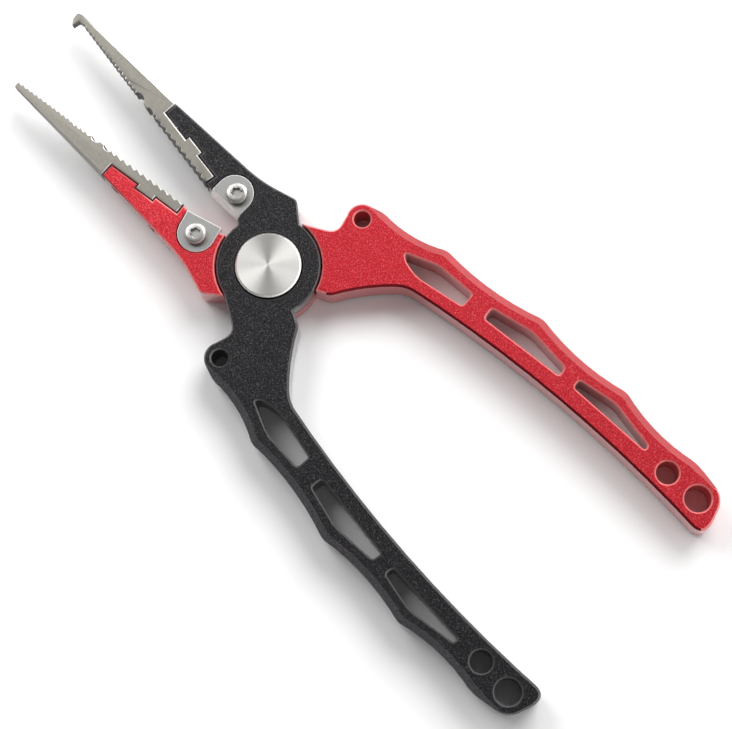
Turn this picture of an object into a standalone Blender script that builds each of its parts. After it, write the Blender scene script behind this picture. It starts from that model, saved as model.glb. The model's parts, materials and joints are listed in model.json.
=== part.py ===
"""Fishing pliers: two machined levers on a half-lap pivot, keyed steel jaws, bolted side cutters.

Frame: the pivot axis is Z, the flat back face is z = 0, and +X points to the jaw tips along the
pliers' axis.  Each lever is drawn in its closed place, where the jaws meet on the X axis, and its
group is then turned about the pivot by half of the opening.  Shapes are drawn in millimetres for
the black lever, whose jaw is on -Y and whose grip is on +Y, and mirrored for the red one.
"""
import math

import bmesh
import bpy
from mathutils import Matrix, Vector

MM = 0.001

# Whole tool
THICKNESS = 9.0
OPENING_DEG = 15.5
GAP = 0.3
CUTTER_OVERRUN = 0.2

# Edges and facets
EDGE = 0.35
INNER_EDGE = 0.55
GRIP_EDGE = 1.6
GRIP_EDGE_SLOPE = 0.5
INSERT_EDGE = 0.25
INSERT_BACK_EDGE = 0.4
ARC_ERROR = 0.03
# Steps in a rounded corner: this many, and one more for each millimetre of its cut
ROUNDING_STEPS = 3
SHORTEST_EDGE = 0.05
SMOOTH_ANGLE_DEG = 25.0

# Half-lap pivot
DISC_RADIUS = 12.0
LAP_RADIUS = 12.4
LAP_TOP_OF_RED = THICKNESS / 2 - GAP / 2
LAP_BOTTOM_OF_BLACK = THICKNESS / 2 + GAP / 2
BOLT_RADIUS = 3.2
THREAD_RADIUS = 2.4
HEAD_RADIUS = 7.3
CAP_RADIUS = 7.65
NUT_RADIUS = 4.8
NUT_TOP = 2.1
BUSH_RADIUS = 4.3
BUSH_BOTTOM = 3.3
BUSH_TOP = 6.2
HEAD_SEAT = 7.3
BOSS_RADIUS = 5.6
SPRING_POCKET_RADIUS = 7.9
SPRING_FLOOR = 2.4
SPRING_ROOF = 6.4
WASHER_INNER = 8.6
WASHER_OUTER = 10.0
MIDDLE_WASHER_THICKNESS = 0.4
BACK_WASHER_BOTTOM = 2.4
BACK_WASHER_TOP = 2.9

# Return spring
WIRE_RADIUS = 0.45
COIL_RADIUS = 6.8
COIL_TURNS = 2.25
COIL_STEPS_PER_TURN = 18
WIRE_SIDES = 6
LEG_REACH = 8.4
LEG_SLOT_REACH = 8.9
LEG_SLOT_WIDTH = 1.9
SPRING_START_DEG = 200.0

# Stop pin
PIN_RADIUS = 0.7
PIN_ORBIT = 11.9
PIN_ANGLE_DEG = 143.0
PIN_TOP = 6.5
NOTCH_INNER = 10.85
NOTCH_MARGIN_DEG = 4.8
NOTCH_SPARE_DEG = 1.0

# Ear and round holes in the grip: centre x, centre y, radius
EAR = (-10.55, 21.55, 3.65)
EAR_FROM_DEG = -22.0
EAR_TO_DEG = 76.0
ROUND_HOLES = ((-10.55, 21.6, 1.95), (-100.45, 16.1, 2.6), (-109.2, 15.45, 3.05))
HOLE_SEGMENTS = 24
PIVOT_SEGMENTS = 40

# Jaw holder and jaw insert
HOLDER_START = 13.5
HOLDER_END = 43.9
SEAT_START = 24.45
SEAT_DEPTH = 2.95
KEY_START = 30.8
KEY_END = 36.2
KEY_DEPTH = 4.05
BITE_GAP = 0.2
JAW_TIP = 76.5
# Height of the jaw's back and front face: x, back z, front z
JAW_TAPER = ((HOLDER_START, 0.0, THICKNESS), (HOLDER_END, 2.3, 8.5), (JAW_TIP, 5.2, 7.5))
REAR_TEETH = (24.9, 44.9, 10, 0.6)
FRONT_TEETH = (52.9, 73.4, 15, 0.45)
TOOTH_LEAN = 0.72
# Crimping hollows between the two rows of teeth: centre x, half width, depth
HOLLOWS = {
    "black": ((46.6, 1.1, 0.55), (50.8, 1.55, 1.0)),
    "red": ((47.2, 1.2, 0.85), (50.9, 1.2, 0.75)),
}

# Side cutters
CUT_LINE_POINT = (18.0, 0.03)
CUT_LINE_DEG = 8.8
PLATE_RADIUS = 4.45
PLATE_BOTTOM = 6.5
PLATE_TOP = 8.9
PLATE_OVERHANG = 1.3
PLATE_FLOOR_SHORTFALL = 0.9
PLATE_CENTRES = {"black": (18.45, -4.0), "red": (17.95, -3.9)}
BLADE_BEVEL = 1.3
BLADE_LAND = 0.3
PLATE_EDGE = 0.12
CUTTER_SCREWS = {"black": (17.85, -4.35), "red": (17.8, -4.25)}
SCREW_SHANK = 1.25
SCREW_HEAD = 2.5
SCREW_HEAD_TOP = 10.5
SCREW_TIP = 2.5
SCREW_RECESS = 1.3
SCREW_RECESS_DEPTH = 0.8

# Screws that hold the jaw inserts, along Y
JAW_SCREWS = {"rear": 27.5, "front": 40.2}
JAW_SCREW_SHANK = 0.8
JAW_SCREW_HEAD = 1.45
JAW_SCREW_HEAD_HEIGHT = 0.9
JAW_SCREW_SINK = 0.35
JAW_SCREW_TIP = -1.5
JAW_SCREW_RECESS = 0.75

SIDES = {"black": 1, "red": -1}


def clear_scene():
    for item in list(bpy.data.objects):
        bpy.data.objects.remove(item)


def make_material(name, color, roughness, metallic):
    material = bpy.data.materials.new(name)
    material.use_nodes = True
    shader = material.node_tree.nodes["Principled BSDF"]
    shader.inputs["Base Color"].default_value = (*color, 1.0)
    shader.inputs["Roughness"].default_value = roughness
    shader.inputs["Metallic"].default_value = metallic
    material.diffuse_color = (*color, 1.0)
    return material


def black_anodised():
    return make_material("black_anodised", (0.035, 0.033, 0.037), 0.45, 0.6)


def red_anodised():
    return make_material("red_anodised", (0.62, 0.03, 0.05), 0.4, 0.6)


def jaw_steel():
    return make_material("jaw_steel", (0.36, 0.34, 0.31), 0.35, 1.0)


def carbide():
    return make_material("carbide", (0.33, 0.33, 0.34), 0.3, 1.0)


def spun_steel():
    return make_material("spun_steel", (0.62, 0.61, 0.58), 0.25, 1.0)


def screw_steel():
    return make_material("screw_steel", (0.6, 0.59, 0.56), 0.22, 1.0)


def bronze():
    return make_material("bronze", (0.5, 0.32, 0.14), 0.35, 1.0)


def slip_plastic():
    return make_material("slip_plastic", (0.8, 0.79, 0.75), 0.5, 0.0)


def spring_steel():
    return make_material("spring_steel", (0.3, 0.3, 0.3), 0.3, 1.0)


# Outlines: lists of (point, edge width), anticlockwise seen from the front

def corner(x, y, cut=0.0, sag=0.0, edge=EDGE):
    """A corner of an outline.

    cut is how far from the corner its rounding starts.  sag is how far the side that leaves the
    corner bows to the left, which is into the material.
    """
    return Vector((x, y)), cut, sag, edge


def on_circle(radius, degrees, centre=(0.0, 0.0)):
    angle = math.radians(degrees)
    return centre[0] + radius * math.cos(angle), centre[1] + radius * math.sin(angle)


def disc_sag(radius, from_degrees, to_degrees):
    """Sag of an arc that bows out of the material by its own circle."""
    return -radius * (1 - math.cos(math.radians(to_degrees - from_degrees) / 2))


def side_path(start, end, sag, start_edge, end_edge):
    """Points along one side, both ends included, as a straight line or a circular arc."""
    if not sag:
        return [(start, start_edge), (end, end_edge)]
    half_chord = (end - start).length / 2
    radius = (half_chord ** 2 + sag ** 2) / (2 * abs(sag))
    left = Vector((start.y - end.y, end.x - start.x)).normalized()
    centre = (start + end) / 2 + left * (sag - math.copysign(radius, sag))
    sweep = 2 * math.asin(min(1.0, half_chord / radius))
    steps = math.ceil(radius * sweep / math.sqrt(8 * radius * ARC_ERROR))
    path = []
    for step in range(steps + 1):
        share = step / steps
        turn = Matrix.Rotation(-math.copysign(sweep * share, sag), 2)
        edge = start_edge + (end_edge - start_edge) * share
        path.append((centre + turn @ (start - centre), edge))
    return path


def without_start(path, cut):
    """The path with its first stretch, cut long, left off."""
    left_over = cut
    for index in range(len(path) - 1):
        (start, start_edge), (end, end_edge) = path[index], path[index + 1]
        length = (end - start).length
        if left_over < length:
            share = left_over / length
            edge = start_edge + (end_edge - start_edge) * share
            return [(start.lerp(end, share), edge)] + path[index + 1:]
        left_over -= length
    return path[-1:]


def rounded_outline(corners):
    """The closed outline through the corners, with arcs for bowed sides and rounded corners."""
    sides = []
    for index, (point, cut, sag, edge) in enumerate(corners):
        next_point, next_cut, _, next_edge = corners[(index + 1) % len(corners)]
        path = without_start(side_path(point, next_point, sag, edge, next_edge), cut)
        sides.append(without_start(path[::-1], next_cut)[::-1])
    outline = []
    for index, (point, cut, _, edge) in enumerate(corners):
        before = sides[index - 1][-1][0]
        after = sides[index][0][0]
        if cut:
            steps = ROUNDING_STEPS + round(cut)
            for step in range(1, steps):
                share = step / steps
                outline.append((before.lerp(point, share).lerp(point.lerp(after, share), share), edge))
        outline += sides[index]
    return without_short_sides(outline)


def without_short_sides(outline):
    kept = []
    for point, edge in outline:
        if not kept or (point - kept[-1][0]).length > SHORTEST_EDGE:
            kept.append((point, edge))
    if (kept[0][0] - kept[-1][0]).length <= SHORTEST_EDGE:
        kept.pop()
    return kept


def circle_outline(x, y, radius, segments=HOLE_SEGMENTS, edge=EDGE):
    return [(Vector(on_circle(radius, 360 * step / segments, (x, y))), edge) for step in range(segments)]


def mirrored(outline, side):
    """The outline on the given side: as drawn for black (1), mirrored in the X axis for red (-1)."""
    if side > 0:
        return outline
    return [(Vector((point.x, -point.y)), edge) for point, edge in reversed(outline)]


def inset(outline, widths):
    """The outline moved into the material by a width for each of its points."""
    moved = []
    for index, width in enumerate(widths):
        before = outline[index - 1][0]
        point = outline[index][0]
        after = outline[(index + 1) % len(outline)][0]
        first = (point - before).normalized()
        second = (after - point).normalized()
        normals = Vector((-first.y, first.x)), Vector((-second.y, second.x))
        middle = (normals[0] + normals[1]).normalized()
        moved.append(point + middle * (width / max(0.5, middle.dot(normals[0]))))
    return moved


# Solids: bmeshes in millimetres

def loft(rings):
    """A closed solid through the rings, each a list of points, with a face on both ends."""
    mesh = bmesh.new()
    loops = [[mesh.verts.new(point) for point in ring] for ring in rings]
    count = len(loops[0])
    for lower, upper in zip(loops, loops[1:]):
        for index in range(count):
            after = (index + 1) % count
            mesh.faces.new((lower[index], lower[after], upper[after], upper[index]))
    mesh.faces.new(loops[0][::-1])
    mesh.faces.new(loops[-1])
    return mesh


def at_height(points, heights):
    return [(point.x, point.y, height) for point, height in zip(points, heights)]


def edge_depth(width):
    """How deep a chamfer goes: 45 degrees when narrow, flatter on the wide grip edge."""
    return min(width, EDGE) + max(0.0, width - EDGE) * GRIP_EDGE_SLOPE


def slab(outline, bottom, top):
    """A plate with chamfers of each point's own edge width round its front and back face."""
    points = [point for point, _ in outline]
    widths = [edge for _, edge in outline]
    depths = [edge_depth(width) for width in widths]
    inner = inset(outline, widths)
    rings = [
        at_height(inner, [bottom] * len(points)),
        at_height(points, [bottom + depth for depth in depths]),
        at_height(points, [top - depth for depth in depths]),
        at_height(inner, [top] * len(points)),
    ]
    return loft(rings)


def through_cutter(outline):
    """A cutter for an opening right through the tool, flared at both faces for its chamfers."""
    points = [point for point, _ in outline]
    flared = inset(outline, [-EDGE - CUTTER_OVERRUN] * len(points))
    count = len(points)
    rings = [
        at_height(flared, [-CUTTER_OVERRUN] * count),
        at_height(points, [EDGE] * count),
        at_height(points, [THICKNESS - EDGE] * count),
        at_height(flared, [THICKNESS + CUTTER_OVERRUN] * count),
    ]
    return loft(rings)


def plain_prism(points, bottom, top):
    return loft([at_height(points, [bottom] * len(points)), at_height(points, [top] * len(points))])


def turned(profile, segments=28, closed=False):
    """A turned solid.  profile is (radius, z) pairs; its open ends lie on the axis unless closed."""
    mesh = bmesh.new()
    loops = []
    for radius, height in profile:
        if radius == 0:
            loops.append([mesh.verts.new((0, 0, height))] * segments)
            continue
        ring = [(*on_circle(radius, 360 * step / segments), height) for step in range(segments)]
        loops.append([mesh.verts.new(point) for point in ring])
    pairs = list(zip(loops, loops[1:]))
    if closed:
        pairs.append((loops[-1], loops[0]))
    for lower, upper in pairs:
        for index in range(segments):
            after = (index + 1) % segments
            corners = [lower[index], lower[after], upper[after], upper[index]]
            face = [vert for place, vert in enumerate(corners) if vert not in corners[:place]]
            mesh.faces.new(face)
    bmesh.ops.recalc_face_normals(mesh, faces=mesh.faces)
    return mesh


def ring_profile(inner, outer, bottom, top, edge):
    """The section of a washer or sleeve with small chamfers on its outer corners."""
    return [(inner, bottom), (outer - edge, bottom), (outer, bottom + edge),
            (outer, top - edge), (outer - edge, top), (inner, top)]


def six_lobe_points(radius, x=0.0, y=0.0):
    """A six-lobe drive outline."""
    points = []
    for step in range(30):
        angle = math.radians(step * 12)
        reach = radius * (0.9 + 0.1 * math.cos(6 * angle))
        points.append(Vector((x + reach * math.cos(angle), y + reach * math.sin(angle))))
    return points


def hexagon_points(radius):
    return [Vector(on_circle(radius, 60 * step)) for step in range(6)]


def merged(*meshes):
    """One bmesh that holds all the separate shells."""
    whole = bmesh.new()
    for mesh in meshes:
        holder = bpy.data.meshes.new("holder")
        mesh.to_mesh(holder)
        mesh.free()
        whole.from_mesh(holder)
        bpy.data.meshes.remove(holder)
    return whole


def jaw_heights(x):
    """Back and front height of the jaw at x."""
    for (x0, back0, front0), (x1, back1, front1) in zip(JAW_TAPER, JAW_TAPER[1:]):
        if x <= x1 or x1 == JAW_TIP:
            share = max(0.0, (x - x0) / (x1 - x0))
            return back0 + (back1 - back0) * share, front0 + (front1 - front0) * share
    return JAW_TAPER[-1][1:]


def taper_jaw(mesh):
    """Thins the jaw towards its tip, by moving only the heights of the mesh's points."""
    for x, _, _ in JAW_TAPER[:2]:
        geometry = mesh.verts[:] + mesh.edges[:] + mesh.faces[:]
        bmesh.ops.bisect_plane(mesh, geom=geometry, plane_co=(x, 0, 0), plane_no=(1, 0, 0), dist=1e-5)
    for vert in mesh.verts:
        back, front = jaw_heights(vert.co.x)
        vert.co.z = back + vert.co.z / THICKNESS * (front - back)
    tapered = [face for face in mesh.faces if face.calc_center_median().x > HOLDER_START]
    bmesh.ops.triangulate(mesh, faces=tapered)
    return mesh


# Objects

def add_object(name, mesh, material, parent=None):
    data = bpy.data.meshes.new(name)
    bmesh.ops.scale(mesh, vec=(MM, MM, MM), verts=mesh.verts)
    mesh.to_mesh(data)
    mesh.free()
    data.shade_smooth()
    data.set_sharp_from_angle(angle=math.radians(SMOOTH_ANGLE_DEG))
    item = bpy.data.objects.new(name, data)
    bpy.context.scene.collection.objects.link(item)
    item.parent = parent
    if material:
        data.materials.append(material)
    return item


def cut_away(target, name, mesh):
    """Cuts the mesh out of the target with a Boolean modifier that stays on it."""
    cutter = add_object(name, mesh, None, target.parent)
    cutter.hide_render = True
    cutter.display_type = 'WIRE'
    modifier = target.modifiers.new(name, 'BOOLEAN')
    modifier.operation = 'DIFFERENCE'
    modifier.solver = 'EXACT'
    modifier.object = cutter


def lever_group(name, side):
    """An empty on the pivot axis, turned by half of the opening."""
    group = bpy.data.objects.new(name, None)
    bpy.context.scene.collection.objects.link(group)
    group.rotation_euler.z = math.radians(-side * OPENING_DEG / 2)
    return group


# Cutting line: where the two cutter plates meet when the tool is closed

def cut_line_height(x, side):
    """Height of the cutting line at x, in the side's own drawing."""
    slope = math.tan(math.radians(CUT_LINE_DEG))
    return side * (CUT_LINE_POINT[1] + slope * (x - CUT_LINE_POINT[0]))


def plate_axes(side):
    """Directions along and across the cutting line, in the side's own drawing."""
    angle = math.radians(CUT_LINE_DEG) * side
    return Vector((math.cos(angle), math.sin(angle))), Vector((-math.sin(angle), math.cos(angle)))


def plate_reach(lever, side):
    """Distance from the plate's centre to its cutting edge, half of the bite gap short of the line."""
    centre = Vector(PLATE_CENTRES[lever])
    point = Vector((CUT_LINE_POINT[0], side * CUT_LINE_POINT[1]))
    return (point - centre).dot(plate_axes(side)[1]) - BITE_GAP / 2


def plate_outline(lever, side, grow=0.0, overhang=0.0):
    """The D shape of a cutter plate, or of the pocket that it sits in."""
    along, across = plate_axes(side)
    centre = Vector(PLATE_CENTRES[lever])
    radius = PLATE_RADIUS + grow
    reach = plate_reach(lever, side) + overhang
    right = centre + along * radius
    left = centre - along * radius
    corners = [
        corner(*left, sag=-radius, edge=PLATE_EDGE),
        corner(*right, edge=PLATE_EDGE),
        corner(*(right + across * reach), edge=PLATE_EDGE),
        corner(*(left + across * reach), edge=PLATE_EDGE),
    ]
    return rounded_outline(corners)


# Levers

def inner_jaw_corners(lever, side):
    """The inner edge of the jaw holder: a rib, the floor under the cutter plate and a ridge."""
    plate_x = PLATE_CENTRES[lever][0]
    floor_start = plate_x + PLATE_RADIUS - PLATE_FLOOR_SHORTFALL
    floor_end = plate_x - PLATE_RADIUS - GAP
    floor = [corner(x, cut_line_height(x, side) - PLATE_OVERHANG) for x in (floor_start, floor_end)]
    if lever == "black":
        rib = [corner(SEAT_START, -0.35), corner(23.3, -0.05)]
        ridge = [corner(floor_end - 0.3, -1.1)]
    else:
        rib = [corner(SEAT_START, -0.45), corner(22.9, -0.8)]
        ridge = []
    return rib + floor + ridge


def lever_outline(lever, side):
    """The whole lever: disc, neck, ear, grip, jaw holder and the seat of the insert."""
    disc_start, neck_end, neck_start, shoulder = -1.0, 84.6, 171.5, 286.4
    ear_x, ear_y, ear_radius = EAR
    corners = [
        corner(*on_circle(DISC_RADIUS, disc_start), sag=disc_sag(DISC_RADIUS, disc_start, neck_end)),
        corner(*on_circle(DISC_RADIUS, neck_end), cut=1.0),
        corner(-7.85, 15.55, cut=2.4),
        corner(*on_circle(ear_radius, EAR_FROM_DEG, (ear_x, ear_y)),
               sag=disc_sag(ear_radius, EAR_FROM_DEG, EAR_TO_DEG)),
        corner(*on_circle(ear_radius, EAR_TO_DEG, (ear_x, ear_y))),
        corner(-13.6, 25.85, cut=1.2, sag=1.25, edge=GRIP_EDGE),
        corner(-30.6, 27.5, cut=1.2, sag=1.35, edge=GRIP_EDGE),
        corner(-57.6, 27.75, cut=1.2, sag=1.35, edge=GRIP_EDGE),
        corner(-82.6, 25.5, cut=1.2, sag=1.4, edge=GRIP_EDGE),
        corner(-104.5, 21.95, cut=2.5, edge=GRIP_EDGE),
        corner(-113.3, 19.25, cut=2.8, sag=-0.45),
        corner(-115.2, 9.05, cut=3.9, sag=2.85, edge=INNER_EDGE),
        corner(-28.3, 15.0, cut=2.4, sag=0.8, edge=INNER_EDGE),
        corner(-15.6, 2.9, cut=1.0, edge=INNER_EDGE),
        corner(*on_circle(DISC_RADIUS, neck_start), sag=disc_sag(DISC_RADIUS, neck_start, shoulder)),
        corner(*on_circle(DISC_RADIUS, shoulder)),
        corner(8.5, -14.5, cut=0.9),
        corner(17.0, -10.65, cut=4.5),
        corner(HOLDER_END + 0.3, -6.05, cut=0.3),
        corner(HOLDER_END, -SEAT_DEPTH),
        corner(KEY_END, -SEAT_DEPTH),
        corner(KEY_END, -KEY_DEPTH),
        corner(KEY_START, -KEY_DEPTH),
        corner(KEY_START, -SEAT_DEPTH),
        corner(SEAT_START, -SEAT_DEPTH),
    ]
    return rounded_outline(corners + inner_jaw_corners(lever, side))


def window_outlines():
    """The three long windows of the grip, each kinked where the grip has a finger ridge."""
    front = [corner(-41.15, 19.05, 0.8), corner(-28.25, 18.25, 2.4), corner(-24.3, 19.85, 0.8),
             corner(-23.2, 21.15, 0.8), corner(-31.1, 23.4, 1.9), corner(-41.3, 22.65, 0.8)]
    middle = [corner(-68.2, 19.25, 0.8), corner(-46.85, 19.75, 0.9), corner(-46.8, 22.65, 0.8),
              corner(-57.35, 23.75, 1.5), corner(-68.1, 21.6, 0.8)]
    rear = [corner(-93.4, 17.2, 0.7), corner(-72.4, 19.1, 0.8), corner(-72.35, 21.25, 0.8),
            corner(-82.0, 21.8, 1.5), corner(-93.5, 18.4, 0.7)]
    return [rounded_outline(corners) for corners in (front, middle, rear)]


def black_pivot_void():
    """What is turned out of the black lever: the red disc's pocket, spring pocket, bore and head seat."""
    lap = LAP_BOTTOM_OF_BLACK
    recess_inner, recess_outer = WASHER_INNER - GAP, WASHER_OUTER + GAP
    recess = lap + GAP + MIDDLE_WASHER_THICKNESS / 2 - GAP / 2
    seat_radius = CAP_RADIUS + GAP
    return [
        (0, -CUTTER_OVERRUN), (LAP_RADIUS + EDGE + CUTTER_OVERRUN, -CUTTER_OVERRUN),
        (LAP_RADIUS, EDGE), (LAP_RADIUS, lap), (recess_outer, lap), (recess_outer, recess),
        (recess_inner, recess), (recess_inner, lap), (SPRING_POCKET_RADIUS, lap),
        (SPRING_POCKET_RADIUS, SPRING_ROOF), (BOSS_RADIUS, SPRING_ROOF), (BOSS_RADIUS, lap),
        (BUSH_RADIUS + GAP, lap), (BUSH_RADIUS + GAP, BUSH_TOP + GAP), (BOLT_RADIUS + GAP, BUSH_TOP + GAP),
        (BOLT_RADIUS + GAP, HEAD_SEAT), (seat_radius, HEAD_SEAT), (seat_radius, THICKNESS - EDGE / 2),
        (seat_radius + EDGE / 2 + CUTTER_OVERRUN, THICKNESS + CUTTER_OVERRUN),
        (0, THICKNESS + CUTTER_OVERRUN),
    ]


def red_pivot_void():
    """What is turned out of the red lever: nut seat, bush bore, spring pocket, the black disc's pocket."""
    lap = LAP_TOP_OF_RED
    recess_inner, recess_outer = WASHER_INNER - GAP, WASHER_OUTER + GAP
    recess = lap - GAP - MIDDLE_WASHER_THICKNESS / 2 + GAP / 2
    nut_seat = NUT_RADIUS + GAP
    seat_top = BACK_WASHER_TOP + GAP
    return [
        (0, -CUTTER_OVERRUN), (nut_seat + EDGE / 2 + CUTTER_OVERRUN, -CUTTER_OVERRUN),
        (nut_seat, EDGE / 2), (nut_seat, seat_top), (BUSH_RADIUS + GAP, seat_top),
        (BUSH_RADIUS + GAP, lap), (BOSS_RADIUS, lap), (BOSS_RADIUS, SPRING_FLOOR),
        (SPRING_POCKET_RADIUS, SPRING_FLOOR), (SPRING_POCKET_RADIUS, lap), (recess_inner, lap),
        (recess_inner, recess), (recess_outer, recess), (recess_outer, lap), (LAP_RADIUS, lap),
        (LAP_RADIUS, THICKNESS - EDGE), (LAP_RADIUS + EDGE + CUTTER_OVERRUN, THICKNESS + CUTTER_OVERRUN),
        (0, THICKNESS + CUTTER_OVERRUN),
    ]


def radial_slot(degrees, bottom, top):
    """A slot that reaches out from the spring pocket for a spring leg."""
    out = Vector(on_circle(1, degrees))
    across = Vector((-out.y, out.x)) * LEG_SLOT_WIDTH / 2
    near, far = out * (SPRING_POCKET_RADIUS - 0.5), out * LEG_SLOT_REACH
    return plain_prism([near - across, far - across, far + across, near + across], bottom, top)


def rim_notch():
    """The notch in the red disc's rim that the stop pin runs in, in the red lever's closed place."""
    start = PIN_ANGLE_DEG - OPENING_DEG - NOTCH_MARGIN_DEG
    end = PIN_ANGLE_DEG + NOTCH_MARGIN_DEG + NOTCH_SPARE_DEG
    steps = 10
    angles = [start + (end - start) * step / steps for step in range(steps + 1)]
    outer = [Vector(on_circle(DISC_RADIUS + 1, angle)) for angle in angles]
    inner = [Vector(on_circle(NOTCH_INNER, angle)) for angle in reversed(angles)]
    return plain_prism(outer + inner, -CUTTER_OVERRUN, LAP_TOP_OF_RED + CUTTER_OVERRUN)


def pin_bore():
    x, y = on_circle(PIN_ORBIT, PIN_ANGLE_DEG)
    points = [point for point, _ in circle_outline(x, y, PIN_RADIUS + GAP, 16)]
    return plain_prism(points, -CUTTER_OVERRUN, PIN_TOP + GAP)


def plate_pocket(lever, side):
    outline = mirrored(plate_outline(lever, side, grow=GAP, overhang=2.0), side)
    return plain_prism([point for point, _ in outline], PLATE_BOTTOM - GAP, THICKNESS + CUTTER_OVERRUN)


def cutter_screw_bore(lever, side):
    x, y = CUTTER_SCREWS[lever]
    points = [point for point, _ in circle_outline(x, side * y, SCREW_SHANK + GAP, 24)]
    return plain_prism(points, SCREW_TIP - GAP, PLATE_BOTTOM)


def holder_back(x):
    """Height of the jaw holder's outer edge at x."""
    start, end = Vector((17.0, -10.65)), Vector((HOLDER_END + 0.3, -6.05))
    return start.y + (end.y - start.y) * (x - start.x) / (end.x - start.x)


def lie_along_y(mesh, x, side):
    """Turns a solid drawn upright to point inwards along Y at the middle of the jaw's thickness."""
    middle = sum(jaw_heights(x)) / 2
    bmesh.ops.rotate(mesh, verts=mesh.verts, matrix=Matrix.Rotation(-side * math.pi / 2, 3, 'X'))
    bmesh.ops.translate(mesh, verts=mesh.verts, vec=(x, 0, middle))
    return mesh


def jaw_screw_bore(x, side):
    """Counterbore and hole through the holder for one jaw screw."""
    head = JAW_SCREW_HEAD + GAP
    shank = JAW_SCREW_SHANK + GAP
    floor = holder_back(x) + JAW_SCREW_SINK + JAW_SCREW_HEAD_HEIGHT + GAP
    profile = [(0, holder_back(x) - 1), (head, holder_back(x) - 1), (head, floor), (shank, floor),
               (shank, -SEAT_DEPTH + 1), (0, -SEAT_DEPTH + 1)]
    return lie_along_y(turned(profile, 12), x, side)


def build_lever(lever, group, material):
    side = SIDES[lever]
    outline = mirrored(lever_outline(lever, side), side)
    item = add_object(lever + "_lever", taper_jaw(slab(outline, 0, THICKNESS)), material, group)
    void = black_pivot_void() if lever == "black" else red_pivot_void()
    cut_away(item, lever + "_pivot_void", turned(void, PIVOT_SEGMENTS))
    openings = [through_cutter(mirrored(shape, side)) for shape in window_outlines()]
    for x, y, radius in ROUND_HOLES:
        openings.append(through_cutter(mirrored(circle_outline(x, y, radius), side)))
    openings.append(plate_pocket(lever, side))
    openings += [jaw_screw_bore(x, side) for x in JAW_SCREWS.values()]
    if lever == "black":
        slot_bottom = LAP_BOTTOM_OF_BLACK - CUTTER_OVERRUN
        openings.append(radial_slot(spring_end_degrees(), slot_bottom, SPRING_ROOF))
        openings.append(pin_bore())
    else:
        slot_top = LAP_TOP_OF_RED + CUTTER_OVERRUN
        openings.append(radial_slot(SPRING_START_DEG, SPRING_FLOOR, slot_top))
        openings.append(rim_notch())
    cut_away(item, lever + "_openings", merged(*openings))
    cut_away(item, lever + "_screw_bore", cutter_screw_bore(lever, side))
    return item


# Jaw inserts

def teeth(start, end, count, depth):
    """Saw teeth along the bite, as (x, y) from the pivot outwards."""
    pitch = (end - start) / count
    points = []
    for tooth in range(count):
        root = start + tooth * pitch
        points.append((root, -BITE_GAP / 2 - depth))
        points.append((root + pitch * TOOTH_LEAN, -BITE_GAP / 2))
    points.append((end, -BITE_GAP / 2 - depth))
    return points


def hollow(centre, half_width, depth):
    """A round hollow across the bite, for closing crimps."""
    points = []
    for step in range(9):
        angle = math.pi * step / 8
        points.append((centre - half_width * math.cos(angle), -BITE_GAP / 2 - depth * math.sin(angle)))
    return points


def jaw_outline(lever):
    """The jaw insert: seat, key, back, tip and bite.  The black jaw has a hooked beak at its tip."""
    back_edge = INSERT_BACK_EDGE
    seat = GAP - SEAT_DEPTH
    if lever == "black":
        tip = [(75.9, -1.5, 0.5), (77.0, -0.9, 0.5), (76.4, 0.95, 0.4), (75.25, 1.95, 0.15),
               (75.1, 0.1, 0.25)]
    else:
        tip = [(74.5, -1.65, 0.5), (74.4, -0.1, 0.45)]
    corners = [
        corner(SEAT_START + GAP, -BITE_GAP / 2 - 0.1, edge=INSERT_EDGE),
        corner(SEAT_START + GAP, seat, edge=INSERT_EDGE),
        corner(KEY_START + GAP, seat, edge=INSERT_EDGE),
        corner(KEY_START + GAP, GAP - KEY_DEPTH, edge=INSERT_EDGE),
        corner(KEY_END - GAP, GAP - KEY_DEPTH, edge=INSERT_EDGE),
        corner(KEY_END - GAP, seat, edge=INSERT_EDGE),
        corner(HOLDER_END + GAP, seat, edge=INSERT_EDGE),
        corner(HOLDER_END + 0.3 + GAP, -6.05, edge=back_edge),
        corner(62.0, -3.45, edge=back_edge),
    ]
    corners += [corner(x, y, cut=cut, edge=INSERT_EDGE) for x, y, cut in tip]
    bite = teeth(*REAR_TEETH)
    for shape in HOLLOWS[lever]:
        bite += hollow(*shape)
    bite += teeth(*FRONT_TEETH)
    corners += [corner(x, y, edge=INSERT_EDGE / 2) for x, y in reversed(bite)]
    return rounded_outline(corners)


def build_jaw(lever, group, material):
    side = SIDES[lever]
    outline = mirrored(jaw_outline(lever), side)
    item = add_object(lever + "_jaw", taper_jaw(slab(outline, 0, THICKNESS)), material, group)
    bores = []
    for x in JAW_SCREWS.values():
        top = JAW_SCREW_TIP + GAP
        profile = [(0, -SEAT_DEPTH - 0.5), (JAW_SCREW_SHANK + GAP, -SEAT_DEPTH - 0.5),
                   (JAW_SCREW_SHANK + GAP, top), (0, top)]
        bores.append(lie_along_y(turned(profile, 12), x, side))
    cut_away(item, lever + "_jaw_bores", merged(*bores))


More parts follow.
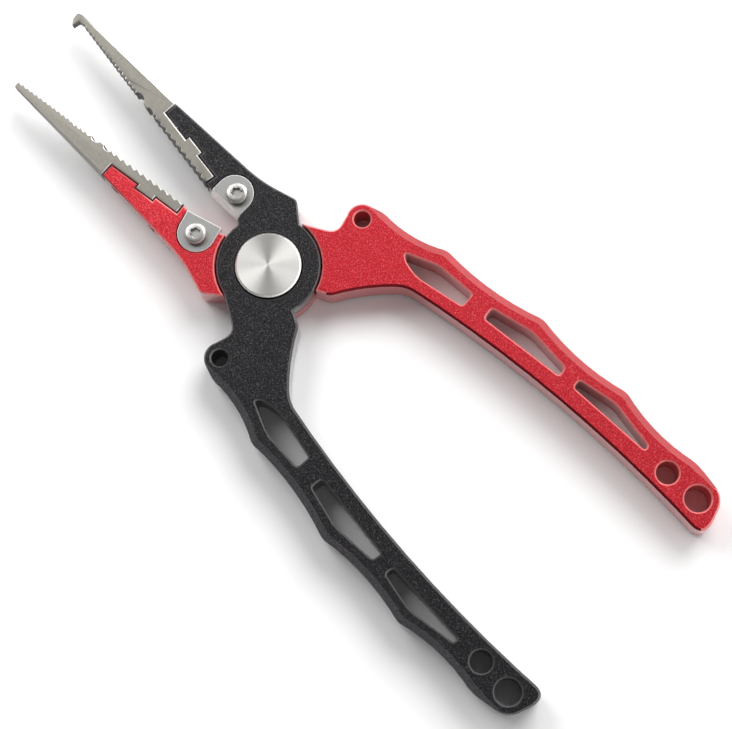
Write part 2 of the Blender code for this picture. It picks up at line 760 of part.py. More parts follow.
def build_jaw_screw(lever, place, group, material):
    """A cheese-head screw with a hexagon socket, drawn upright with its head down."""
    side = SIDES[lever]
    x = JAW_SCREWS[place]
    bottom = holder_back(x) + JAW_SCREW_SINK
    neck = bottom + JAW_SCREW_HEAD_HEIGHT
    profile = [(0, bottom), (JAW_SCREW_HEAD - 0.15, bottom), (JAW_SCREW_HEAD, bottom + 0.15),
               (JAW_SCREW_HEAD, neck), (JAW_SCREW_SHANK, neck), (JAW_SCREW_SHANK, JAW_SCREW_TIP - 0.3),
               (JAW_SCREW_SHANK - 0.3, JAW_SCREW_TIP), (0, JAW_SCREW_TIP)]
    name = lever + "_jaw_screw_" + place
    item = add_object(name, lie_along_y(turned(profile, 16), x, side), material, group)
    socket = plain_prism(hexagon_points(JAW_SCREW_RECESS), bottom - 0.5, bottom + 0.55)
    cut_away(item, name + "_socket", lie_along_y(socket, x, side))


# Side cutters

def build_cutter(lever, group, material):
    """A D-shaped plate: the black one is ground to a blade, the red one is a plain anvil."""
    side = SIDES[lever]
    outline = mirrored(plate_outline(lever, side), side)
    item = add_object(lever + "_cutter", slab(outline, PLATE_BOTTOM, PLATE_TOP), material, group)
    x, y = CUTTER_SCREWS[lever]
    hole = [point for point, _ in circle_outline(x, side * y, SCREW_SHANK + GAP, 24)]
    cut_away(item, lever + "_cutter_hole", plain_prism(hole, PLATE_BOTTOM - 1, PLATE_TOP + 1))
    if lever == "black":
        cut_away(item, "black_cutter_bevel", blade_bevel())


def blade_bevel():
    """The wedge ground off the front of the blade, down to a narrow land at the cutting edge."""
    along, across = plate_axes(1)
    edge = Vector(PLATE_CENTRES["black"]) + across * plate_reach("black", 1)
    land = PLATE_BOTTOM + BLADE_LAND
    slope = (PLATE_TOP - land) / BLADE_BEVEL
    section = [(-BLADE_BEVEL - 1, PLATE_TOP + slope), (0.5, land - slope / 2), (0.5, PLATE_TOP + slope)]
    ends = []
    for reach in (-PLATE_RADIUS - 1, PLATE_RADIUS + 1):
        ring = []
        for outwards, height in section:
            point = edge + along * reach + across * outwards
            ring.append((point.x, point.y, height))
        ends.append(ring)
    wedge = loft(ends)
    bmesh.ops.recalc_face_normals(wedge, faces=wedge.faces)
    return wedge


def build_cutter_screw(lever, group, material):
    """A pan-head screw with a six-lobe recess."""
    x, y = CUTTER_SCREWS[lever]
    y *= SIDES[lever]
    neck = PLATE_TOP + GAP
    top = SCREW_HEAD_TOP
    profile = [(0, SCREW_TIP), (SCREW_SHANK - 0.3, SCREW_TIP), (SCREW_SHANK, SCREW_TIP + 0.3),
               (SCREW_SHANK, neck), (SCREW_HEAD, neck), (SCREW_HEAD, top - 0.5),
               (SCREW_HEAD - 0.12, top - 0.22), (SCREW_HEAD - 0.4, top - 0.05), (SCREW_HEAD - 0.7, top),
               (0, top)]
    mesh = turned(profile, 24)
    bmesh.ops.translate(mesh, verts=mesh.verts, vec=(x, y, 0))
    name = lever + "_cutter_screw"
    item = add_object(name, mesh, material, group)
    recess = plain_prism(six_lobe_points(SCREW_RECESS, x, y), top - SCREW_RECESS_DEPTH, top + 0.5)
    cut_away(item, name + "_recess", recess)


# Pivot

def build_pivot_cap(group, material):
    top, bottom, bevel = 9.8, 8.8, 0.45
    profile = [(0, bottom), (CAP_RADIUS - 0.15, bottom), (CAP_RADIUS, bottom + 0.15),
               (CAP_RADIUS, top - bevel), (CAP_RADIUS - bevel, top), (0, top)]
    add_object("pivot_cap", turned(profile, PIVOT_SEGMENTS), material, group)


def build_pivot_bolt(group, material):
    head_bottom, head_top, thread_end = 7.6, 8.5, 1.1
    shoulder = BACK_WASHER_BOTTOM
    profile = [(0, thread_end), (THREAD_RADIUS - 0.3, thread_end), (THREAD_RADIUS, thread_end + 0.3),
               (THREAD_RADIUS, shoulder), (BOLT_RADIUS, shoulder), (BOLT_RADIUS, head_bottom),
               (HEAD_RADIUS, head_bottom), (HEAD_RADIUS, head_top - 0.2), (HEAD_RADIUS - 0.2, head_top),
               (0, head_top)]
    add_object("pivot_bolt", turned(profile), material, group)


def build_pivot_nut(group, material):
    """A closed nut, flush with the back face, with two holes for a pin spanner."""
    bore = THREAD_RADIUS + GAP
    profile = [(0, 0), (NUT_RADIUS - 0.2, 0), (NUT_RADIUS, 0.2), (NUT_RADIUS, NUT_TOP),
               (bore, NUT_TOP), (bore, 0.8), (0, 0.8)]
    item = add_object("pivot_nut", turned(profile), material, group)
    holes = []
    for x in (-3.75, 3.75):
        points = [point for point, _ in circle_outline(x, 0, 0.55, 16)]
        holes.append(plain_prism(points, -0.5, 1.1))
    cut_away(item, "pivot_nut_spanner_holes", merged(*holes))


def build_rings(group, bronze_finish, plastic_finish):
    """The two slip washers and the bush that the red lever turns on."""
    middle = THICKNESS / 2
    half = MIDDLE_WASHER_THICKNESS / 2
    bore = BOLT_RADIUS + GAP
    middle_profile = ring_profile(WASHER_INNER, WASHER_OUTER, middle - half, middle + half, 0.05)
    back_profile = ring_profile(bore, NUT_RADIUS, BACK_WASHER_BOTTOM, BACK_WASHER_TOP, 0.05)
    bush_profile = ring_profile(bore, BUSH_RADIUS, BUSH_BOTTOM, BUSH_TOP, 0.1)
    add_object("middle_washer", turned(middle_profile, closed=True), plastic_finish, group)
    add_object("back_washer", turned(back_profile, closed=True), plastic_finish, group)
    add_object("pivot_bush", turned(bush_profile, closed=True), bronze_finish, group)


def build_stop_pin(group, material):
    x, y = on_circle(PIN_ORBIT, PIN_ANGLE_DEG)
    profile = [(0, 0.4), (PIN_RADIUS - 0.15, 0.4), (PIN_RADIUS, 0.55), (PIN_RADIUS, PIN_TOP - 0.15),
               (PIN_RADIUS - 0.15, PIN_TOP), (0, PIN_TOP)]
    mesh = turned(profile, 16)
    bmesh.ops.translate(mesh, verts=mesh.verts, vec=(x, y, 0))
    add_object("stop_pin", mesh, material, group)


def spring_end_degrees():
    """Angle of the spring's black-side leg in the black lever's closed place."""
    return SPRING_START_DEG + OPENING_DEG + 360 * COIL_TURNS


def spring_route():
    """Centre line of the wire at rest, from the red-side leg up to the black-side leg."""
    start = SPRING_START_DEG + OPENING_DEG / 2
    bottom = SPRING_FLOOR + GAP + WIRE_RADIUS
    top = SPRING_ROOF - GAP - WIRE_RADIUS
    steps = round(COIL_TURNS * COIL_STEPS_PER_TURN)
    coil = []
    for step in range(steps + 1):
        share = step / steps
        x, y = on_circle(COIL_RADIUS, start + 360 * COIL_TURNS * share)
        coil.append(Vector((x, y, bottom + (top - bottom) * share)))
    first_leg = Vector((*on_circle(LEG_REACH, start), bottom))
    last_leg = Vector((*on_circle(LEG_REACH, start + 360 * COIL_TURNS), top))
    return [first_leg] + coil + [last_leg]


def tube(route, radius, sides):
    """A round wire along the route, with flat ends."""
    rings = []
    for index, point in enumerate(route):
        before = route[max(0, index - 1)]
        after = route[min(len(route) - 1, index + 1)]
        forward = (after - before).normalized()
        across = forward.cross(Vector((0, 0, 1))).normalized()
        up = across.cross(forward)
        ring = []
        for step in range(sides):
            angle = 2 * math.pi * step / sides
            ring.append(point + radius * (math.cos(angle) * across + math.sin(angle) * up))
        rings.append(ring)
    mesh = loft(rings)
    bmesh.ops.recalc_face_normals(mesh, faces=mesh.faces)
    return mesh


def build_spring(material):
    add_object("return_spring", tube(spring_route(), WIRE_RADIUS, WIRE_SIDES), material)


def build_tool():
    clear_scene()
    groups = {lever: lever_group(lever + "_group", side) for lever, side in SIDES.items()}
    steel, plate, screw, spun = jaw_steel(), carbide(), screw_steel(), spun_steel()
    build_lever("black", groups["black"], black_anodised())
    build_lever("red", groups["red"], red_anodised())
    for lever, group in groups.items():
        build_jaw(lever, group, steel)
        build_cutter(lever, group, plate)
        build_cutter_screw(lever, group, screw)
        for place in JAW_SCREWS:
            build_jaw_screw(lever, place, group, screw)
    pivot = groups["black"]
    build_pivot_cap(pivot, spun)
    build_pivot_bolt(pivot, screw)
    build_pivot_nut(pivot, screw)
    build_rings(pivot, bronze(), slip_plastic())
    build_stop_pin(pivot, screw)
    build_spring(spring_steel())
    bpy.context.view_layer.update()


build_tool()
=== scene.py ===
"""The looks of the fishing pliers: blasted and milled levers, satin jaws, turned and spun parts.

Every CAD node is replaced by a finer copy of itself: its facets are welded into smooth faces and,
apart from the washers, the bush and the spring, its edges are broken by a small real bevel.
Lengths written in millimetres are turned into metres with MM.
Frame: the pivot axis is Z, +X points to the jaw tips, z = 0 is the back.
"""
import json
import math

import bmesh
import bpy
from mathutils import Matrix, Vector


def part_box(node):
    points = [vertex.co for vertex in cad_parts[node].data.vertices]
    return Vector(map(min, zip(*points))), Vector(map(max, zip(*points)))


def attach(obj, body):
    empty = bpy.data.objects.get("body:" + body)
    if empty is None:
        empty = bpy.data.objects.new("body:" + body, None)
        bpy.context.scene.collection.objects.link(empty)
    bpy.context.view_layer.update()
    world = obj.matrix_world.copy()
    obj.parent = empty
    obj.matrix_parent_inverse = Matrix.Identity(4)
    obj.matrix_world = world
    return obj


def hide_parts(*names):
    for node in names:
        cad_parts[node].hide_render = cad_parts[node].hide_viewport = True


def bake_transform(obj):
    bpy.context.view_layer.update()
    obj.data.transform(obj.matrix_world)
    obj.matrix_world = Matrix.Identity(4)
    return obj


MM = 0.001

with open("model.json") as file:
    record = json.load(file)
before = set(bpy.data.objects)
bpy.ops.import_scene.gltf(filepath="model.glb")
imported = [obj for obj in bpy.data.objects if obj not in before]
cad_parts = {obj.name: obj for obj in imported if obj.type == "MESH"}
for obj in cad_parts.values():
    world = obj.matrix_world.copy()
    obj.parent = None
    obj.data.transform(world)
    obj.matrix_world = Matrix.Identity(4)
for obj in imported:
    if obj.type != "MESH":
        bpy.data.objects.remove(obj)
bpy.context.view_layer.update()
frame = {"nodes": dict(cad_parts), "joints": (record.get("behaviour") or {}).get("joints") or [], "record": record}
NODES = frame["nodes"]
BODIES = frame["record"]["behaviour"]["bodies"]
BODY_OF = {node: body for body, nodes in BODIES.items() for node in nodes}
SLOT_OF = {part["node"]: part["material_slot"] for part in frame["record"]["subparts"]}
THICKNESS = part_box("black_lever")[1].z


def added(name, data):
    """A new object in the scene."""
    item = bpy.data.objects.new(name, data)
    bpy.context.scene.collection.objects.link(item)
    return item


def darker(color, share):
    return tuple(channel * share for channel in color)


# Shader building

class Shader:
    """A material under construction, with short names for the nodes it is made of."""

    def __init__(self, name):
        self.material = bpy.data.materials.new(name)
        self.material.use_nodes = True
        self.tree = self.material.node_tree
        self.surface = self.tree.nodes["Principled BSDF"]
        self.place = self.tree.nodes.new("ShaderNodeTexCoord").outputs["Object"]

    def node(self, kind, inputs=None, **settings):
        made = self.tree.nodes.new("ShaderNode" + kind)
        for name, value in settings.items():
            setattr(made, name, value)
        for name, value in (inputs or {}).items():
            self.feed(made.inputs[name], value)
        return made

    def feed(self, socket, value):
        if isinstance(value, bpy.types.NodeSocket):
            self.tree.links.new(value, socket)
        else:
            socket.default_value = value

    def set(self, **values):
        for name, value in values.items():
            self.feed(self.surface.inputs[name.replace("_", " ")], value)

    def noise(self, size_mm, detail, place=None):
        """Noise whose lumps are about size_mm across."""
        inputs = {"Vector": place or self.place, "Scale": 1 / (size_mm * MM), "Detail": detail}
        return self.node("TexNoise", inputs).outputs["Fac"]

    def ramp(self, value, stops):
        """Colours or levels along a value; stops are (position, colour or level)."""
        made = self.node("ValToRGB", {"Fac": value})
        elements = made.color_ramp.elements
        while len(elements) < len(stops):
            elements.new(0.5)
        for element, (position, level) in zip(elements, stops):
            element.position = position
            element.color = (*level, 1) if isinstance(level, tuple) else (level, level, level, 1)
        return made.outputs["Color"]

    def mix(self, share, first, second):
        made = self.node("Mix", data_type='RGBA')
        self.feed(made.inputs["Factor"], share)
        for socket, value in (("A", first), ("B", second)):
            target = next(item for item in made.inputs if item.name == socket and item.type == 'RGBA')
            self.feed(target, (*value, 1) if isinstance(value, tuple) else value)
        return next(item for item in made.outputs if item.type == 'RGBA')

    def math(self, operation, first, second):
        made = self.node("Math", operation=operation)
        self.feed(made.inputs[0], first)
        self.feed(made.inputs[1], second)
        return made.outputs["Value"]

    def bump(self, height, depth_mm, strength):
        made = self.node("Bump", {"Height": height, "Distance": depth_mm * MM, "Strength": strength})
        self.set(Normal=made.outputs["Normal"])

    def height_share(self):
        """0 at the back face of the levers and 1 at their front face."""
        z = self.node("SeparateXYZ", {"Vector": self.place}).outputs["Z"]
        limits = {"Value": z, "From Min": 0.0, "From Max": THICKNESS}
        return self.node("MapRange", limits).outputs["Result"]


BLAST_GRAIN_MM = 0.32
PAINTED_GLINT_CELL_MM = 0.36
BLAST_PIT_MM = 0.22


def blasted_anodising(name, base, dark, bright, roughness, metallic, painted_glint):
    """Bead-blasted anodised aluminium: a fine matt grain with scattered painted glints, bright specks of colour
    standing in for highlights.
    """
    shader = Shader(name)
    grain = shader.noise(BLAST_GRAIN_MM, 2.0)
    color = shader.ramp(grain, [(0.36, dark), (0.5, base), (0.66, bright)])
    # Painted glints: random small cells are mixed towards a bright colour that stands in for highlights.
    cells = shader.node("TexVoronoi", {"Vector": shader.place, "Scale": 1 / (PAINTED_GLINT_CELL_MM * MM)})
    chance = shader.node("SeparateXYZ", {"Vector": cells.outputs["Color"]}).outputs["X"]
    near = shader.ramp(cells.outputs["Distance"], [(0.15, 1.0), (0.4, 0.0)])
    lucky = shader.ramp(chance, [(0.35, 0.0), (0.95, 0.8)])
    color = shader.mix(shader.math('MULTIPLY', near, lucky), color, painted_glint)
    shader.set(Base_Color=color, Metallic=metallic, Roughness=roughness, Specular_IOR_Level=0.35)
    shader.bump(shader.noise(BLAST_PIT_MM, 2.0), depth_mm=0.014, strength=0.8)
    return shader.material


def cut_anodising(name, base, roughness, metallic, coat=0.4):
    """Anodised aluminium on a milled edge: smoother than the blasted faces."""
    shader = Shader(name)
    streaks = shader.noise(0.9, 3.0)
    shade = darker(base, 0.8)
    color = shader.ramp(streaks, [(0.3, shade), (0.7, base)])
    shader.set(Base_Color=color, Metallic=metallic, Roughness=roughness)
    shader.set(Coat_Weight=coat, Coat_Roughness=0.2)
    shader.bump(shader.noise(0.25, 2.0), depth_mm=0.006, strength=0.6)
    return shader.material


# How far a pattern is drawn out along each axis: smaller is longer
MARKS_STRETCH = (0.15, 0.15, 1.0)
GRAIN_STRETCH = (0.35, 1.0, 1.0)


def wall_anodising_painted_shade(name, low, high, roughness, metallic, sheen=0.5):
    """A milled wall: fine level cutter marks and a painted shade that makes it darker towards the back, under a
    clear gloss.
    """
    shader = Shader(name)
    # Painted shade: the colour runs from the low colour at the back to the high one at the front.
    color = shader.ramp(shader.height_share(), [(0.0, low), (1.0, high)])
    stretch = shader.node("Mapping", {"Vector": shader.place, "Scale": MARKS_STRETCH})
    marks = shader.noise(0.25, 2.0, stretch.outputs["Vector"])
    color = shader.mix(shader.ramp(marks, [(0.3, 0.0), (0.8, 0.3)]), color, low)
    shader.set(Base_Color=color, Metallic=metallic, Roughness=roughness)
    shader.set(Coat_Weight=sheen, Coat_Roughness=0.15)
    shader.bump(marks, depth_mm=0.008, strength=0.7)
    return shader.material


BLOTCH_MM = 6.0
RING_MM = 0.12


def ground_steel(name, base, roughness, grain_mm=0.25):
    """Satin steel with a fine grain along the tool."""
    shader = Shader(name)
    stretch = shader.node("Mapping", {"Vector": shader.place, "Scale": GRAIN_STRETCH})
    grain = shader.noise(grain_mm, 4.0, stretch.outputs["Vector"])
    shade = darker(base, 0.84)
    color = shader.ramp(grain, [(0.25, shade), (0.75, base)])
    blotch = shader.noise(BLOTCH_MM, 3.0)
    color = shader.mix(shader.ramp(blotch, [(0.3, 0.0), (0.8, 0.5)]), color, shade)
    level = shader.ramp(grain, [(0.2, roughness + 0.1), (0.8, roughness - 0.06)])
    shader.set(Base_Color=color, Metallic=1.0, Roughness=level)
    shader.bump(grain, depth_mm=0.004, strength=0.6)
    return shader.material


def spun_steel(name, base):
    """A turned face: fine concentric grooves whose highlight fans out from the middle."""
    shader = Shader(name)
    radius = shader.node("VectorMath", {0: shader.place}, operation='LENGTH').outputs["Value"]
    inputs = {"W": radius, "Scale": 1 / (RING_MM * MM), "Detail": 3.0}
    rings = shader.node("TexNoise", inputs, noise_dimensions='1D').outputs["Fac"]
    shade = darker(base, 0.93)
    color = shader.ramp(rings, [(0.25, shade), (0.75, base)])
    tangent = shader.node("Tangent", direction_type='RADIAL', axis='Z')
    shader.set(Base_Color=color, Metallic=1.0, Roughness=0.5, Tangent=tangent.outputs["Tangent"])
    shader.set(Anisotropic=0.92, Anisotropic_Rotation=0.25)
    shader.bump(rings, depth_mm=0.003, strength=0.5)
    return shader.material


def plain_metal(name, base, roughness):
    """Metal with a slight unevenness and no direction."""
    shader = Shader(name)
    grain = shader.noise(0.5, 3.0)
    shade = darker(base, 0.85)
    color = shader.ramp(grain, [(0.3, shade), (0.7, base)])
    shader.set(Base_Color=color, Metallic=1.0, Roughness=roughness)
    shader.bump(grain, depth_mm=0.003, strength=0.4)
    return shader.material


def floor_material():
    shader = Shader("paper_sweep")
    tone = shader.ramp(shader.noise(40.0, 2.0), [(0.3, 0.94), (0.7, 0.96)])
    shader.set(Base_Color=tone, Roughness=0.9, Specular_IOR_Level=0.1)
    return shader.material


# Finer copies of the CAD nodes

WELD = 0.002 * MM
FLAT = math.radians(0.6)
SMOOTH = math.radians(28.0)


def refined(node, materials, choose=None, bevel_mm=0.12, line=-1):
    """Puts a copy with welded faces, and a material chosen for each face, in place of a CAD node.

    Its edges are bevelled, in the material numbered line if there is one; on the levers that material is a painted
    highlight along every bevelled edge.
    """
    mesh = bmesh.new()
    mesh.from_mesh(NODES[node].data)
    bmesh.ops.remove_doubles(mesh, verts=mesh.verts, dist=WELD)
    bmesh.ops.dissolve_limit(mesh, angle_limit=FLAT, verts=mesh.verts, edges=mesh.edges)
    data = bpy.data.meshes.new("fine_" + node)
    for face in mesh.faces:
        face.smooth = True
        face.material_index = choose(face) if choose else 0
    mesh.to_mesh(data)
    mesh.free()
    for material in materials:
        data.materials.append(material)
    item = added("fine_" + node, data)
    data.set_sharp_from_angle(angle=SMOOTH)
    if bevel_mm:
        bevel = item.modifiers.new("broken_edges", 'BEVEL')
        bevel.width = bevel_mm * MM
        bevel.segments = 2
        bevel.limit_method = 'ANGLE'
        bevel.angle_limit = SMOOTH
        bevel.harden_normals = True
        bevel.material = line
    place(item, node)


def place(item, node):
    """Lets a piece stand for a CAD node: hides the node and makes the piece move with the node's body, apart from
    the spring, which is only baked in place.
    """
    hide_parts(node)
    if node == "return_spring":
        twist_with_levers(item)
    else:
        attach(item, BODY_OF[node])


def twist_with_levers(item):
    """Bakes the spring's placement into its mesh; the spring is attached to no body and does not twist with the
    levers.
    """
    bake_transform(item)


# Which surface a face belongs to, in the order of a lever's materials; the chamfers get a painted highlight and
# the inner-edge chamfers a painted shade, lit and shaded copies of one chamfer
# The walls get a painted shade towards the back; the opening walls are also lightened at the front by a painted
# reflection.
FACE, BAND, PAINTED_HIGHLIGHT_EDGE, PAINTED_SHADE_INNER_EDGE, WALL, OPENING_WALL, HOLE_WALL, PAINTED_HIGHLIGHT_LINE = range(8)
# The least upright share of a face's normal, on level faces, the grip's wide chamfer and other chamfers
LEVEL = 0.97
NEARLY_LEVEL = 0.78
SLANTED = 0.3
HALF_OPENING = math.radians(frame["joints"][0]["range_deg"][1] / 2)
# The inner edges of the grip and neck, drawn closed: start, slope of y over x, bow, half length
GRIP_INNER = ((-28.3, 15.0), 0.068, 2.85, 43.45)
NECK_INNER = ((-28.3, 15.0), -0.95, 0.8, -8.7)
INNER_MARGIN = 0.8
# Openings lie behind the first x, and the inner edges of the neck and grip behind the second
OPENINGS_END = -8
NECK_END = -11
# Middle and half sizes of the windows, and of the round holes, drawn closed
OPENINGS = ((-32.3, 20.8, 9.4, 2.9), (-57.5, 21.4, 11.1, 2.7), (-83.0, 19.4, 11.0, 2.75))
HOLES = ((-10.55, 21.6, 2.3, 2.3), (-100.45, 16.1, 2.95, 2.95), (-109.2, 15.45, 3.4, 3.4))


def closed_place(lever, point):
    """A point of a lever in millimetres, turned to the closed tool and drawn on the black side."""
    side = 1 if lever == "black" else -1
    turned = Matrix.Rotation(side * HALF_OPENING, 2) @ Vector((point.x, point.y)) / MM
    return turned.x, turned.y * side


def beyond_inner_edge(x, y):
    """Whether a place lies along the inner edge of the grip or neck."""
    line = GRIP_INNER if x < GRIP_INNER[0][0] else NECK_INNER
    (start_x, start_y), slope, bow, half_length = line
    share = (x - start_x + half_length) / half_length
    edge = start_y + slope * (x - start_x) + bow * (1 - share * share)
    return x < NECK_END and y < edge + INNER_MARGIN


def within(shapes, x, y):
    """Whether a place lies at one of the openings, which are all clear of the inner edge."""
    if x > OPENINGS_END or beyond_inner_edge(x, y):
        return False
    return any(abs(x - centre_x) < reach_x and abs(y - centre_y) < reach_y
               for centre_x, centre_y, reach_x, reach_y in shapes)


def lever_region(lever):
    """Tells which surface of a lever a face belongs to, from its slope and place."""
    def region(face):
        slope = abs(face.normal.z)
        if slope > LEVEL:
            return FACE
        if slope > NEARLY_LEVEL:
            return BAND
        x, y = closed_place(lever, face.calc_center_median())
        if within(OPENINGS, x, y):
            return PAINTED_HIGHLIGHT_EDGE if slope > SLANTED else OPENING_WALL
        if within(HOLES, x, y):
            return PAINTED_HIGHLIGHT_EDGE if slope > SLANTED else HOLE_WALL
        if slope > SLANTED:
            return PAINTED_SHADE_INNER_EDGE if beyond_inner_edge(x, y) else PAINTED_HIGHLIGHT_EDGE
        return WALL
    return region


def build_levers():
    red = [
        # The last colour is a painted glint.
        blasted_anodising("red_blasted", (0.46, 0.012, 0.022), (0.31, 0.005, 0.011),
                          (0.60, 0.033, 0.048), 0.45, 0.5, (0.78, 0.16, 0.18)),
        cut_anodising("red_grip_band", (0.38, 0.034, 0.040), 0.4, 0.5),
        # Chamfers: a painted highlight; inner-edge chamfers: a painted shade.
        cut_anodising("red_edge", (0.88, 0.22, 0.22), 0.35, 0.3),
        cut_anodising("red_inner_edge_painted_shade", (0.22, 0.004, 0.010), 0.35, 0.8, 0.1),
        # Walls: a painted shade towards the back; the opening walls also a pale painted reflection at the front.
        wall_anodising_painted_shade("red_wall_painted_shade", (0.56, 0.06, 0.065), (0.68, 0.105, 0.11), 0.3, 0.4, 1.0),
        wall_anodising_painted_shade("red_opening_wall_painted_reflection_and_shade", (0.45, 0.13, 0.14), (0.85, 0.42, 0.42), 0.35, 0.3),
        wall_anodising_painted_shade("red_hole_wall_painted_shade", (0.60, 0.05, 0.065), (0.70, 0.07, 0.08), 0.35, 0.3),
        # Edge line: a painted highlight along the bevelled edges.
        cut_anodising("red_edge_line_painted_highlight", (0.92, 0.30, 0.28), 0.3, 0.6),
    ]
    black = [
        # The last colour of each blasted material is a painted glint.
        blasted_anodising("black_blasted", (0.011, 0.010, 0.0115), (0.003, 0.0027, 0.003),
                          (0.040, 0.037, 0.041), 0.45, 0.5, (0.145, 0.138, 0.145)),
        blasted_anodising("black_grip_band", (0.066, 0.062, 0.068), (0.045, 0.042, 0.047),
                          (0.10, 0.095, 0.102), 0.4, 0.3, (0.2, 0.19, 0.2)),
        # Chamfers: a painted highlight; inner-edge chamfers: a painted shade.
        cut_anodising("black_edge", (0.10, 0.097, 0.10), 0.3, 0.5),
        cut_anodising("black_inner_edge_painted_shade", (0.06, 0.057, 0.06), 0.3, 0.7),
        # Walls: a painted shade towards the back; the opening walls also a pale painted reflection at the front.
        wall_anodising_painted_shade("black_wall_painted_shade", (0.04, 0.038, 0.04), (0.08, 0.077, 0.08), 0.3, 0.6, 1.0),
        wall_anodising_painted_shade("black_opening_wall_painted_reflection_and_shade", (0.06, 0.057, 0.06), (0.11, 0.105, 0.11), 0.35, 0.6),
        wall_anodising_painted_shade("black_hole_wall_painted_shade", (0.02, 0.019, 0.02), (0.045, 0.043, 0.045), 0.35, 0.6),
        # Edge line: a painted highlight along the bevelled edges.
        cut_anodising("black_edge_line_painted_highlight", (0.42, 0.41, 0.42), 0.3, 0.6),
    ]
    refined("red_lever", red, lever_region("red"), line=PAINTED_HIGHLIGHT_LINE)
    refined("black_lever", black, lever_region("black"), line=PAINTED_HIGHLIGHT_LINE)


JAW_FACE, JAW_WALL, JAW_PAINTED_HIGHLIGHT_EDGE, JAW_PAINTED_SHADE_BITE = range(4)
JAW_LEVEL = 0.9
TOWARDS_OTHER_JAW = 0.1
TOWARDS_TIP = 0.75
ASIDE = 0.6


def build_jaws():
    steel = ground_steel("jaw_satin", (0.25, 0.238, 0.21), 0.5)
    wall = ground_steel("jaw_back_wall", (0.26, 0.25, 0.22), 0.4)
    # The toothed wall gets a dark painted shade and the chamfers a bright painted highlight, both copies of one
    # ground steel.
    bite = ground_steel("jaw_bite_painted_shade", (0.08, 0.073, 0.066), 0.42)
    edge = ground_steel("jaw_edge_painted_highlight", (0.80, 0.78, 0.75), 0.3)
    for node, side in (("black_jaw", 1), ("red_jaw", -1)):
        refined(node, [steel, wall, edge, bite], jaw_region(side), bevel_mm=0.05)


def jaw_region(side):
    """Front and back, plain walls, chamfers with a painted highlight, and the toothed wall that faces the other
    jaw, with the tip end, in a painted shade.
    """
    def region(face):
        normal = face.normal
        if abs(normal.z) > JAW_LEVEL:
            return JAW_FACE
        if abs(normal.z) > SLANTED:
            return JAW_PAINTED_HIGHLIGHT_EDGE
        if normal.y * side > TOWARDS_OTHER_JAW:
            return JAW_PAINTED_SHADE_BITE
        return JAW_PAINTED_SHADE_BITE if normal.x > TOWARDS_TIP and abs(normal.y) < ASIDE else JAW_WALL
    return region


def build_cutters():
    plate = ground_steel("cutter_ground", (0.40, 0.40, 0.39), 0.36, grain_mm=0.2)
    # The near-white side faces and bevel are a painted reflection of the bright floor.
    bevel = cut_anodising("cutter_bevel_painted_reflection", (0.97, 0.97, 0.95), 0.5, 0.0, 0.3)
    for node in ("red_cutter", "black_cutter"):
        refined(node, [plate, bevel], side_region, bevel_mm=0.05)


def side_region(face):
    """The second material for everything but the level faces."""
    return 0 if abs(face.normal.z) > LEVEL else 1


# A drive recess is round a screw's axis, in the top of a cutter screw or beyond a jaw screw's shank
CUTTER_RECESS_RADIUS = 1.4 * MM
CUTTER_RECESS_DEPTH = 1.0 * MM
JAW_RECESS_RADIUS = 0.8 * MM
JAW_SCREW_SHANK = 1.5 * MM
BESIDE_AXIS = 0.5


def painted_shade_recess_wall(node):
    """Tells the walls of a screw's drive recess, which get a painted shade, from the rest of the screw."""
    low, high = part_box(node)
    middle = (low + high) / 2

    def upright(face):
        spot = face.calc_center_median()
        offset = spot - middle
        near = math.hypot(offset.x, offset.y) < CUTTER_RECESS_RADIUS
        in_head = spot.z > high.z - CUTTER_RECESS_DEPTH
        return int(near and in_head and abs(face.normal.z) < BESIDE_AXIS)

    def lying(face):
        offset = face.calc_center_median() - middle
        near = math.hypot(offset.x, offset.z) < JAW_RECESS_RADIUS
        in_head = abs(offset.y) > JAW_SCREW_SHANK
        return int(near and in_head and abs(face.normal.y) < BESIDE_AXIS)

    return upright if node.endswith("cutter_screw") else lying


def build_hardware():
    bright = plain_metal("bright_screw", (0.66, 0.64, 0.61), 0.3)
    # The recess walls get this darker colour as a painted shade.
    shaded = plain_metal("screw_recess_painted_shade", (0.22, 0.21, 0.20), 0.4)
    for node, slot in SLOT_OF.items():
        if slot == "screw_steel":
            refined(node, [bright, shaded], painted_shade_recess_wall(node), bevel_mm=0.06)
    rim = plain_metal("cap_rim", (0.93, 0.92, 0.89), 0.2)
    spun = spun_steel("spun_cap", (0.66, 0.645, 0.62))
    refined("pivot_cap", [spun, rim], side_region, bevel_mm=0.08)
    washer = plain_metal("slip_washer", (0.7, 0.69, 0.65), 0.5)
    refined("back_washer", [washer], bevel_mm=0)
    refined("middle_washer", [washer], bevel_mm=0)
    refined("pivot_bush", [plain_metal("bearing_bronze", (0.5, 0.32, 0.14), 0.35)], bevel_mm=0)
    refined("return_spring", [plain_metal("spring_wire", (0.35, 0.35, 0.35), 0.3)], bevel_mm=0)


# Stage, camera and lights

FLOOR_HALF_SIZE = 1.2
FLOOR_HEIGHT = -0.15 * MM


def build_stage():
    """A flat floor just under the tool."""
    mesh = bmesh.new()
    corners = ((-1, -1), (1, -1), (1, 1), (-1, 1))
    mesh.faces.new([mesh.verts.new((x * FLOOR_HALF_SIZE, y * FLOOR_HALF_SIZE, FLOOR_HEIGHT))
                    for x, y in corners])
    data = bpy.data.meshes.new("floor")
    mesh.to_mesh(data)
    mesh.free()
    data.materials.append(floor_material())
    floor = added("floor", data)


# The photo's right and up directions in the frame, and the camera's lens in widths of the picture
VIEW_RIGHT = Vector((-0.70427, -0.70884, -0.03924))
VIEW_UP = Vector((0.69128, -0.69731, 0.18945))
CAMERA_PLACE = Vector((-108.97, 50.96, 474.65)) * MM
SENSOR_MM = 36.0
FOCAL_WIDTHS = 2100 / 732


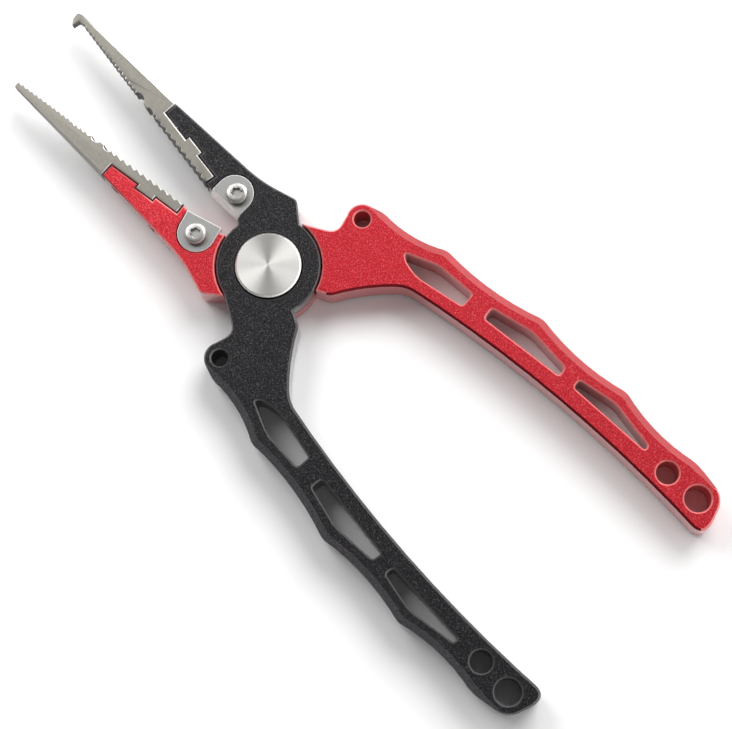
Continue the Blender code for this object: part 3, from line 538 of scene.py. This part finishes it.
def build_camera():
    data = bpy.data.cameras.new("camera")
    data.sensor_width = SENSOR_MM
    data.lens = SENSOR_MM * FOCAL_WIDTHS
    camera = added("camera", data)
    turn = Matrix((VIEW_RIGHT, VIEW_UP, VIEW_RIGHT.cross(VIEW_UP))).transposed()
    camera.matrix_world = Matrix.Translation(CAMERA_PLACE) @ turn.to_4x4()
    bpy.context.scene.camera = camera


def area_light(name, place, target, size, power):
    data = bpy.data.lights.new(name, 'AREA')
    data.shape = 'DISK'
    data.size = size
    data.energy = power
    light = added(name, data)
    light.location = place
    light.rotation_euler = (Vector(target) - Vector(place)).to_track_quat('-Z', 'Y').to_euler()


TOOL_MIDDLE = Vector((-30 * MM, 0, 0))
# Name, place as on_screen takes it, size in metres and power in watts
AREA_LIGHTS = (
    ("key", (0.36, 0.60, 0.72), 0.7, 7.0),
    ("second_key", (-0.50, 0.50, 0.72), 0.6, 4.6),
)
# The world is brighter towards one side and dimmer overhead; levels are from low, high, to low, high
TOP_SHARE = 0.6
DOWNWARD_PULL = -0.35
SIDE_LEVELS = (-0.9, 0.9, 0.3, 1.5)
OVERHEAD_LEVELS = (0.45, 0.9, 1.15, 0.25)


def on_screen(right, up, height):
    """A place above the middle of the tool, offset along the picture's right and up directions."""
    flat_right = VIEW_RIGHT.xy.to_3d().normalized()
    flat_up = VIEW_UP.xy.to_3d().normalized()
    return TOOL_MIDDLE + flat_right * right + flat_up * up + Vector((0, 0, height))


def mapped(world, value, levels):
    """The value carried from one range to another, both given in levels."""
    made = world.node_tree.nodes.new("ShaderNodeMapRange")
    world.node_tree.links.new(value, made.inputs["Value"])
    for name, level in zip(("From Min", "From Max", "To Min", "To Max"), levels):
        made.inputs[name].default_value = level
    return made.outputs["Result"]


def build_world():
    """A studio that is dim overhead, bright along the horizon to the picture's right and top."""
    world = bpy.data.worlds.new("studio")
    world.use_nodes = True
    nodes, links = world.node_tree.nodes, world.node_tree.links
    direction = nodes.new("ShaderNodeTexCoord").outputs["Generated"]
    bright_side = (VIEW_RIGHT.xy + VIEW_UP.xy * TOP_SHARE).normalized()
    facing = nodes.new("ShaderNodeVectorMath")
    facing.operation = 'DOT_PRODUCT'
    links.new(direction, facing.inputs[0])
    facing.inputs[1].default_value = (bright_side.x, bright_side.y, DOWNWARD_PULL)
    height = nodes.new("ShaderNodeSeparateXYZ")
    links.new(direction, height.inputs["Vector"])
    product = nodes.new("ShaderNodeMath")
    product.operation = 'MULTIPLY'
    links.new(mapped(world, facing.outputs["Value"], SIDE_LEVELS), product.inputs[0])
    links.new(mapped(world, height.outputs["Z"], OVERHEAD_LEVELS), product.inputs[1])
    links.new(product.outputs["Value"], nodes["Background"].inputs["Strength"])
    nodes["Background"].inputs["Color"].default_value = (1.0, 1.0, 1.0, 1)
    bpy.context.scene.world = world


def build_lights():
    build_world()
    for name, spot, size, power in AREA_LIGHTS:
        area_light(name, on_screen(*spot), TOOL_MIDDLE, size, power)
    bpy.context.scene.view_settings.view_transform = 'Standard'


build_levers()
build_jaws()
build_cutters()
build_hardware()
build_stage()
build_camera()
build_lights()
